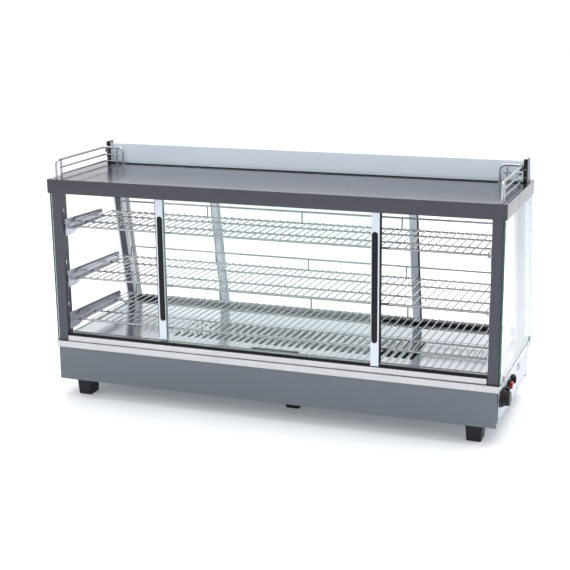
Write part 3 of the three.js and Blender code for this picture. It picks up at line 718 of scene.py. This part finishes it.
def make_dial_print(face, y, z):
    """Marks printed on the plate: a thin ring with plain ticks round the knob, and an open arc below it."""
    ink = 0.25 * MM
    dial = bmesh.new()
    add_prism(dial, circle(y, z, 25.4 * MM, 48), "x", face, face + ink, [circle(y, z, 24.8 * MM, 48)])
    for step in range(11):
        turn = math.radians(240 - 30 * step)
        across, up = math.cos(turn), math.sin(turn)
        corners = [(y + (across * reach - up * half) * MM, z + (up * reach + across * half) * MM)
                   for reach, half in ((26.6, -0.5), (29.6, -0.5), (29.6, 0.5), (26.6, 0.5))]
        add_prism(dial, corners, "x", face, face + ink)
    arc = [math.radians(70 + 220 * i / 14) for i in range(15)]
    mark_z = z - 42 * MM
    outer = [(y + 5 * MM * math.cos(t), mark_z + 5 * MM * math.sin(t)) for t in arc]
    inner = [(y + 3.8 * MM * math.cos(t), mark_z + 3.8 * MM * math.sin(t)) for t in reversed(arc)]
    add_prism(dial, outer + inner, "x", face, face + ink)
    finish_piece("thermostat_dial_print", dial, PRINT)


def make_knob(face, y, z):
    """Fluted knob with its skirt and pointer, which turn, in a bezel that stays on the plate."""
    low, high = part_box("thermostat_knob")
    base, tip = (low.x - face) / MM, (high.x - face) / MM
    knob = bmesh.new()
    profile = [(0, base), (15, base), (15, base + 4.6), (21.0, base + 4.6), (21.5, base + 5.1),
               (21.5, base + 7.9), (20.8, base + 8.6), (18.6, base + 9.0), (18.3, base + 9.8),
               (17.3, tip - 1.6), (16.6, tip - 0.5), (15.4, tip), (12.5, tip - 0.5), (0, tip - 0.8)]
    add_lathe(knob, profile, (face, y, z), (1, 0, 0), 72)
    for vertex in knob.verts:  # finger flutes round the grip
        out = Vector((0, vertex.co.y - y, vertex.co.z - z))
        along = (vertex.co.x - face) / MM
        if base + 9.5 < along < tip - 0.2 and out.length > 12 * MM:
            turn = math.atan2(out.z, out.y)
            depth = 0.9 * MM * max(0, math.cos(12 * turn)) ** 2
            vertex.co -= out.normalized() * depth
    finish_piece("thermostat_knob_moulding", knob, BLACK, "thermostat_dial",
                 ["thermostat_knob"])

    bezel = bmesh.new()
    section = [(16.2, 0.1), (22.4, 0.1), (22.9, 0.6), (22.9, 3.4), (22.2, 4.1), (17, 4.3), (16.2, 3.6)]
    add_ring(bezel, section, (face, y, z), (1, 0, 0), 56)
    finish_piece("thermostat_bezel", bezel, KNOB_GREY)

    pointer = bmesh.new()
    add_prism(pointer, rounded(y - 1 * MM, y + 1 * MM, z + 5 * MM, z + 15 * MM, 0.9 * MM), "x",
              high.x - 0.9 * MM, high.x - 0.05 * MM)
    finish_piece("thermostat_pointer", pointer, PLATE, "thermostat_dial")


def make_switch(body, material, face):
    """A rocker with a dished face in a raised housing."""
    node = f"{body}_rocker"
    low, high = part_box(node)
    centre = (low + high) / 2
    half_y, half_z = (high.y - low.y) / 2, (high.z - low.z) / 2
    base = low.x
    inset = 0.3 * MM
    bottom, top = centre.z - half_z, centre.z + half_z
    steps = 14
    sections = []
    for i in range(steps + 1):
        share = 2 * i / steps - 1
        y = centre.y + half_y * share
        # the face is raised at the front end, lower in the middle and a little raised at the rear
        rise = (4.4 + (1.6 if share > 0 else 4.0) * share * share) * MM
        if i in (0, steps):
            rise -= 0.5 * MM
        crown = base + rise
        sections.append([(base, y, bottom), (crown - inset, y, bottom), (crown, y, bottom + inset * 2),
                         (crown, y, top - inset * 2), (crown - inset, y, top), (base, y, top)])
    bm = bmesh.new()
    add_loft(bm, sections)
    finish_piece(node + "_cap", bm, material, body, [node])

    def around(extra_y, extra_z, radius, steps):
        reach_y, reach_z = half_y + extra_y * MM, half_z + extra_z * MM
        return rounded(centre.y - reach_y, centre.y + reach_y, centre.z - reach_z, centre.z + reach_z,
                       radius * MM, steps)

    housing = bmesh.new()
    add_prism(housing, around(3.2, 2.8, 2, 4), "x", face + 0.05 * MM, base + 2.2 * MM,
              [around(1, 1, 0.8, 3)])
    bevel_sharp(housing, 0.6, 2, 50)
    finish_piece(f"{body}_housing", housing, BLACK)


# ---- frame and glass
def rear_line(z):
    """y of the rear posts' outer face at a height."""
    low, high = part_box("rear_left_post")
    return high.y - (z - low.z) * math.tan(SLOPE)


def make_columns():
    for name, _ in ENDS:
        make_front_column(name)
    for name, side in ENDS:
        make_rear_post(name, side)


def make_front_column(name):
    """Folded column, with the shallow beads of its front face and the hook slots of its inner return."""
    node = f"front_{name}_column"
    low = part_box(node)[0]
    bm = cad_copy(node)
    bead = 1.2 * MM
    for vertex in bm.verts:  # the beads are pressed less deep than the solid's
        depth = vertex.co.y - low.y
        if bead * 0.9 < depth < bead * 1.1:
            vertex.co.y = low.y + bead * 0.45
    bevel_sharp(bm, 0.35, 2)
    finish_piece(node + "_folding", bm, PAINT_FRAME, stands_for=[node])


def make_rear_post(name, side):
    """Folded post: a painted box section with a silver guide on its inner edge and a trim on its outer."""
    node = f"rear_{name}_post"
    low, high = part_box(node)
    inner = end_x((low, high), -side)
    width = (high.x - low.x) / MM
    across = 36 * MM / math.cos(SLOPE)  # level depth of the 36 mm post, which leans

    def band(x_from, x_to, front, rear, material, label, stands_for=()):
        """A strip of the post between two distances from its inner face and two shares of its depth."""
        outline = [(rear_line(z) - across + across * share, z)
                   for z, share in ((low.z, front), (low.z, rear), (high.z, rear), (high.z, front))]
        xs = sorted((inner + side * x_from * MM, inner + side * x_to * MM))
        bm = bmesh.new()
        add_prism(bm, outline, "x", xs[0], xs[1])
        bevel_sharp(bm, 0.6)
        finish_piece(f"rear_{name}_{label}", bm, material, stands_for=stands_for)

    band(8.6, width - 6.4, 0, 1, PAINT_FRAME, "post_box", [node])
    band(width - 6, width, 0.02, 0.98, ALUMINIUM, "post_trim")
    band(0.0, 8.0, 0.0, 0.42, ALUMINIUM_GREY, "post_guide")
    band(0.4, 8.0, 0.43, 0.52, SOFT_BLACK, "post_gasket")
    band(0.0, 8.0, 0.53, 1.0, ALUMINIUM_DULL, "post_channel")


def make_pane(node, body, materials, normal, plain_edge=None, front_edge=None):
    """A glass sheet with arrissed edges. materials are those of its faces, its front edge and its other
    edges; the edge that looks along plain_edge is bonded into a frame, and shows no green."""
    bm = cad_copy(node)
    bevel_sharp(bm, 0.5, 1)
    bm.normal_update()
    for face in bm.faces:
        flat = abs(face.normal.dot(normal)) > 0.99
        bonded = plain_edge is not None and face.normal.dot(plain_edge) > 0.6
        at_front = front_edge is not None and face.normal.dot(front_edge) > 0.6
        face.material_index = 0 if flat or bonded else 1 if at_front else 2
    finish_piece(node + "_pane", bm, materials, body, [node])


def make_side_glass():
    """Glass ends, taped to the front columns and bedded on the rim."""
    rim_low, rim_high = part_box("deck_rim")
    for (name, side), face in zip(ENDS, (PANE_LEFT, PANE_RIGHT)):
        node = f"{name}_side_glass"
        materials = [face, EDGE_DARK, EDGE_REAR]
        make_pane(node, "case", materials, Vector((1, 0, 0)), front_edge=Vector((0, -1, 0)))
        low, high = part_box(node)
        column_low, column_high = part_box(f"front_{name}_column")
        x0, x1 = sorted((end_x((column_low, column_high), side), end_x((low, high), -side)))
        tape = bmesh.new()
        add_block(tape, x0 + 0.05 * MM, x1 - 0.05 * MM, column_low.y + 1.5 * MM,
                  column_high.y - 2 * MM, low.z + 1 * MM, high.z - 1 * MM)
        finish_piece(f"{name}_glazing_tape", tape, SOFT_BLACK)
        outer = end_x((low, high), side)
        x0, x1 = sorted((outer + side * 0.1 * MM, outer + side * 0.9 * MM))
        bed = bmesh.new()
        add_block(bed, x0, x1, rim_low.y + 6 * MM, rim_high.y - 4 * MM, rim_high.z, rim_high.z + 1.6 * MM)
        finish_piece(node + "_bed", bed, BEDDING)


# ---- roof
def make_roof():
    refined("top_cover", PAINT_COVER, 1.1, 3)
    refined("ceiling_liner", STEEL_X, 0.4, 1)
    low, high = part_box("top_cover")

    seams = bmesh.new()
    for offset in (150, 156):
        y = low.y + offset * MM
        add_block(seams, high.x - 0.5 * MM, high.x + 0.12 * MM, y, y + 0.7 * MM,
                  low.z + 1.5 * MM, high.z - 1.5 * MM)
    finish_piece("cover_side_seams", seams, PAINT_FRAME)

    lamp_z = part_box("ceiling_liner")[0].z
    for label, y in (("front", low.y + 95 * MM), ("rear", low.y + 215 * MM)):
        tray = bmesh.new()
        section = [(y - 17 * MM, lamp_z - 0.1 * MM), (y - 12 * MM, lamp_z - 4 * MM),
                   (y + 12 * MM, lamp_z - 4 * MM), (y + 17 * MM, lamp_z - 0.1 * MM)]
        add_prism(tray, section, "x", -0.40, 0.40)
        bevel_sharp(tray, 0.6, 2, 20)
        finish_piece(f"{label}_lamp_reflector", tray, STEEL_X)
        tube = bmesh.new()
        add_tube(tube, [(-0.37, y, lamp_z - 9.5 * MM), (0.37, y, lamp_z - 9.5 * MM)], 5 * MM, 20)
        finish_piece(f"{label}_lamp_tube", tube, LAMP)
        holders = bmesh.new()
        for x0, x1 in ((-0.385, -0.3705), (0.3705, 0.385)):
            add_prism(holders, rounded(x0, x1, y - 7 * MM, y + 7 * MM, 2 * MM), "z",
                      lamp_z - 16 * MM, lamp_z - 4.1 * MM)
        bevel_sharp(holders, 0.5, 2, 50)
        finish_piece(f"{label}_lamp_holders", holders, BLACK)


def make_header():
    low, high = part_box("header_panel")
    bm = cad_copy("header_panel")
    bevel_sharp(bm, 0.8, 2)
    finish_piece("header_panel_sheet", bm, HEADER_SHEET, stands_for=["header_panel"])
    seal = bmesh.new()
    front = low.y - 2.2 * MM
    section = [(front, low.z), (low.y - 0.2 * MM, low.z), (low.y - 0.2 * MM, low.z + 2.8 * MM),
               (front + 0.6 * MM, low.z + 2.4 * MM)]
    add_prism(seal, section, "x", low.x, high.x)
    bevel_sharp(seal, 0.3, 1)
    finish_piece("header_seal", seal, SOFT_BLACK)
    # reach of the clamp strip from the sheet's end: over the sheet on the left, beside it on the right
    for name, side, inward, outward in (("left", LEFT, -6, 5), ("right", RIGHT, 0.5, 9.4)):
        make_header_end(name, side, inward, outward)


def make_header_end(name, side, inward, outward):
    """Tapered bracket plate behind one end of the header, with its flange, black clamp strip and screws."""
    header_low, header_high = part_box("header_panel")
    low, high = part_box(f"{name}_header_bracket")
    edge = end_x((header_low, header_high), side)
    strip_xs = sorted((edge + side * inward * MM, edge + side * outward * MM))
    strip_front = header_low.y - 3 * MM
    strip_rear = header_low.y - 0.1 * MM if inward < 0 else low.y - 0.2 * MM

    plate = bmesh.new()
    top = high.z - 0.6 * MM  # the bevel of the sloped corner must stay inside the solid's height
    outline = [(low.y, low.z), (high.y, low.z), (low.y + 30 * MM, top), (low.y, top)]
    face = edge + side * (outward + 0.6) * MM
    plate_xs = sorted((face - side * 2 * MM, face))
    add_prism(plate, outline, "x", plate_xs[0], plate_xs[1])
    flange_xs = sorted((face - side * 2.1 * MM, face - side * 14 * MM))
    add_block(plate, flange_xs[0], flange_xs[1], low.y + 3 * MM, high.y - 1 * MM, low.z, low.z + 1.6 * MM)
    bevel_sharp(plate, 0.4, 2)
    for y in (low.y + 12 * MM, high.y - 10 * MM):
        add_screw(plate, (face - side * 8 * MM, y, low.z + 1.6 * MM), (0, 0, 1), 2.6)
    finish_piece(f"{name}_header_bracket_plate", plate, BRACKET,
                 stands_for=[f"{name}_header_bracket"])

    strip = bmesh.new()
    add_prism(strip, rounded(strip_xs[0], strip_xs[1], strip_front, strip_rear, 0.8 * MM, 3), "z",
              low.z, high.z - 1 * MM)
    bevel_sharp(strip, 0.6, 2, 50)
    finish_piece(f"{name}_header_strip", strip, BLACK)

    screws = bmesh.new()
    for height in (14, 34):
        add_screw(screws, (sum(strip_xs) / 2, strip_front, low.z + height * MM), (0, -1, 0), 2.4)
    finish_piece(f"{name}_header_screws", screws, SCREW)


def make_gallery(name, side):
    """Bent chrome wire guard at one end of the roof."""
    low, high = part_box(f"{name}_gallery")
    wire = 3 * MM
    outer = end_x((low, high), side) - side * wire
    inner = end_x((low, high), -side) + side * 8 * MM
    post_x = inner + side * 19 * MM
    front, rear = low.y + 8 * MM, high.y - wire
    post_y = front + 25 * MM
    top, foot = high.z - wire, low.z
    bm = bmesh.new()
    add_tube(bm, bent([(outer, front, foot), (outer, front, top), (outer, rear, top),
                       (inner, rear, top), (inner, rear, foot)], 13 * MM), wire, 14)
    rail_x = outer - side * 1.5 * MM
    for z in GALLERY_RAILS:
        add_tube(bm, bent([(rail_x, front + 17 * MM, z), (rail_x, rear, z),
                           (inner + side * 9 * MM, rear, z)], 13 * MM), 2.4 * MM, 12)
    add_tube(bm, [(outer, post_y, foot), (outer, post_y, top)], wire, 14)
    add_tube(bm, [(post_x, rear, foot), (post_x, rear, top)], wire, 14)
    washer = [(0, 0.05), (4.6, 0.05), (4.6, 0.7), (4.0, 1.2), (3.1, 1.5), (0, 1.5)]
    for x, y in ((outer, front), (outer, post_y), (inner, rear), (post_x, rear)):
        add_lathe(bm, washer, (x, y, foot), (0, 0, 1), 18)
    finish_piece(f"{name}_gallery_wire", bm, CHROME_RAIL, stands_for=[f"{name}_gallery"])

    clip = bmesh.new()
    xs = sorted((outer - side * 8.5 * MM, outer + side * 1 * MM))
    add_prism(clip, rounded(xs[0], xs[1], top - 15 * MM, top - 3 * MM, 2 * MM, 4), "y",
              rear + 3.2 * MM, rear + 5.4 * MM)
    bevel_sharp(clip, 0.3, 1, 50)
    add_screw(clip, (outer - side * 4 * MM, rear + 3.3 * MM, top - 9 * MM), (0, -1, 0), 2.6)
    finish_piece(f"{name}_gallery_clip", clip, SPRING)


# ---- shelves
def make_shelf(name):
    """Welded wire shelf: bars from front to rear on four cross rods, with a guard along the rear."""
    node = f"{name}_shelf"
    low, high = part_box(node)
    top = high.z - GUARD_HEIGHT
    bar, rod = 1.6 * MM, 2.4 * MM  # wire radii
    bar_z = top - bar
    rod_z = bar_z - bar - rod + 0.3 * MM
    front, rear = low.y + 3 * MM, high.y - 2.5 * MM
    bm = bmesh.new()
    count = round((high.x - low.x - 10 * MM) / SHELF_PITCH)
    middle = (low.x + high.x) / 2
    for i in range(count + 1):
        x = middle + (i - count / 2) * SHELF_PITCH
        add_tube(bm, bent([(x, front - 1.2 * MM, bar_z - 2.4 * MM), (x, front - 0.6 * MM, bar_z),
                           (x, rear + 0.5 * MM, bar_z)], 1.2 * MM, 3), bar, 8)
    depth = rear - front
    for share, radius in ((0, 2.9 * MM), (0.3, rod), (0.715, rod), (1, rod)):
        y = front + depth * share
        drop = 0.5 * MM if share == 0 else 0
        add_tube(bm, [(low.x + 1 * MM, y, rod_z - drop), (high.x - 1 * MM, y, rod_z - drop)], radius, 12)
    guard_z = high.z - rod
    start, end = middle - 525 * MM, middle + 525 * MM
    add_tube(bm, bent([(start, rear, rod_z), (start, rear, guard_z),
                       (end, rear, guard_z), (end, rear, rod_z)], 7 * MM, 6), rod, 12)
    tie_y = rear + 0.4 * MM
    for offset in (-263 * MM, 10 * MM, 283 * MM):
        x = middle + offset
        add_tube(bm, [(x, tie_y, rod_z), (x, tie_y, guard_z)], 2.1 * MM, 10)
    finish_piece(f"{node}_wires", bm, CHROME, stands_for=[node])


def make_arms(name):
    """Side arms: a folded plate, with a locking rod along its upper edge that ends in a hook."""
    mat_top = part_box(f"{name}_shelf")[1].z - GUARD_HEIGHT
    for end, side in ENDS:
        node = f"{name}_shelf_{end}_arm"
        refined(node, STEEL_ARM, 0.35, 2)
        low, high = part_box(node)
        plate = end_x((low, high), side) - side * 9.3 * MM
        x = plate - side * 0.2 * MM
        bm = bmesh.new()
        front, rear = low.y + 38 * MM, high.y - 6 * MM
        rise = mat_top + 13.5 * MM
        add_tube(bm, bent([(x, front, mat_top + 6 * MM), (x, front + 6 * MM, rise),
                           (x, rear, rise - 5 * MM), (x, rear + 1 * MM, mat_top + 1.5 * MM)], 3.5 * MM, 5),
                 1.5 * MM, 10)
        add_screw(bm, (x, front - 12 * MM, mat_top + 9 * MM), (-side, 0, 0), 2.6)
        add_screw(bm, (x, rear - 18 * MM, mat_top + 4 * MM), (-side, 0, 0), 2.6)
        finish_piece(f"{node}_lock", bm, SPRING)


# ---- sliding doors
def make_tracks():
    """Door tracks: a front track is black along its outer edge, where the black paints the shade in its first
    groove, and plain behind it; rear ones are black.
    """
    for node in ("front_lower_track", "front_upper_track", "rear_lower_track", "rear_upper_track"):
        low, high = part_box(node)
        # on a front track the faces in front of black_until are black: painted shade of the groove
        black_until = low.y + (high.y - low.y) * (0.21 if node.startswith("front") else 1)
        bm = cad_copy(node)
        bevel_sharp(bm, 0.25, 1)
        for face in bm.faces:
            face.material_index = 0 if face.calc_center_median().y < black_until else 1
        finish_piece(node + "_extrusion", bm, [BLACK, STEEL_X], stands_for=[node])


def make_door(prefix, leaning):
    """One leaf: pane, stile, flush grip and the brush seal on its outer edge."""
    normal = Vector((0, math.cos(SLOPE), math.sin(SLOPE))) if leaning else Vector((0, 1, 0))
    outward = Vector((RIGHT if "right" in prefix else LEFT, 0, 0))
    make_pane(f"{prefix}_glass", prefix, [PANE_DOOR, EDGE_PALE, EDGE_PALE], normal, plain_edge=outward)
    refined(f"{prefix}_stile", ALUMINIUM, 0.6, 3, prefix)
    make_grip(prefix, leaning)
    make_seal(prefix, leaning)


def leaf_frame(prefix, leaning):
    """Frame at the middle of the handle, with local y into the case and local z up the leaf."""
    low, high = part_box(f"{prefix}_handle")
    centre = (low + high) / 2
    turn = Matrix.Rotation(SLOPE, 4, "X") if leaning else Matrix.Identity(4)
    facing = Matrix.Rotation(math.pi, 4, "Z") if leaning else Matrix.Identity(4)
    return Matrix.Translation(centre) @ turn @ facing


def make_grip(prefix, leaning):
    """A long black grip with round ends and a crowned face."""
    place = leaf_frame(prefix, leaning)
    low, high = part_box(f"{prefix}_handle")
    half_width = (high.x - low.x) / 2
    half_length = (high.z - low.z) / 2 / (math.cos(SLOPE) if leaning else 1)
    half_depth = 1.55 * MM
    bm = bmesh.new()
    # inset of the outline and height above the grip's back, from the back to the crown
    steps = ((0.3, 0), (0.0, 0.3), (0.0, 1.6), (0.5, 2.3), (1.4, 2.9), (2.6, 3.3), (3.6, 3.5))
    sections = []
    for inset, rise in steps:
        # the crown lies near the left edge, so the right flank is a long soft slope
        left, right = -half_width + 0.4 * inset * MM, half_width - 1.5 * inset * MM
        outline = rounded(left, right, -half_length + inset * MM, half_length - inset * MM,
                          (right - left) / 2 * 0.999, 8)
        sections.append([place @ Vector((a, half_depth - rise * MM, b)) for a, b in outline])
    add_loft(bm, sections)
    finish_piece(f"{prefix}_grip", bm, HANDLE, prefix, [f"{prefix}_handle"], 50)


def make_seal(prefix, leaning):
    """Black brush seal down the outer side of the stile."""
    place = leaf_frame(prefix, leaning)
    low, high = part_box(f"{prefix}_stile")
    side = RIGHT if "right" in prefix else LEFT
    lean = math.cos(SLOPE) if leaning else 1
    local_side = -side if leaning else side
    reach = abs(end_x((low, high), side) - place.translation.x)
    half = (high.z - low.z) / lean / 2 - 8 * MM
    middle = ((low.z + high.z) / 2 - place.translation.z) / lean
    xs = sorted((local_side * (reach + 0.1 * MM), local_side * (reach + 2.4 * MM)))
    bm = bmesh.new()
    add_prism(bm, rounded(xs[0], xs[1], 0.4 * MM, 13 * MM, 0.9 * MM, 3), "z", middle - half, middle + half)
    bmesh.ops.transform(bm, matrix=place, verts=bm.verts)
    finish_piece(f"{prefix}_seal", bm, SOFT_BLACK, prefix)


make_camera()
make_world()
make_stage()
make_base()
make_interior_floor()
make_heater()
make_controls()
make_columns()
make_side_glass()
make_roof()
make_header()
for end_name, end_side in ENDS:
    make_gallery(end_name, end_side)
for shelf in ("top", "middle", "bottom"):
    make_shelf(shelf)
    make_arms(shelf)
make_tracks()
for door_row, door_leans in (("front", False), ("rear", True)):
    for end_name, _ in ENDS:
        make_door(f"{door_row}_{end_name}_door", door_leans)
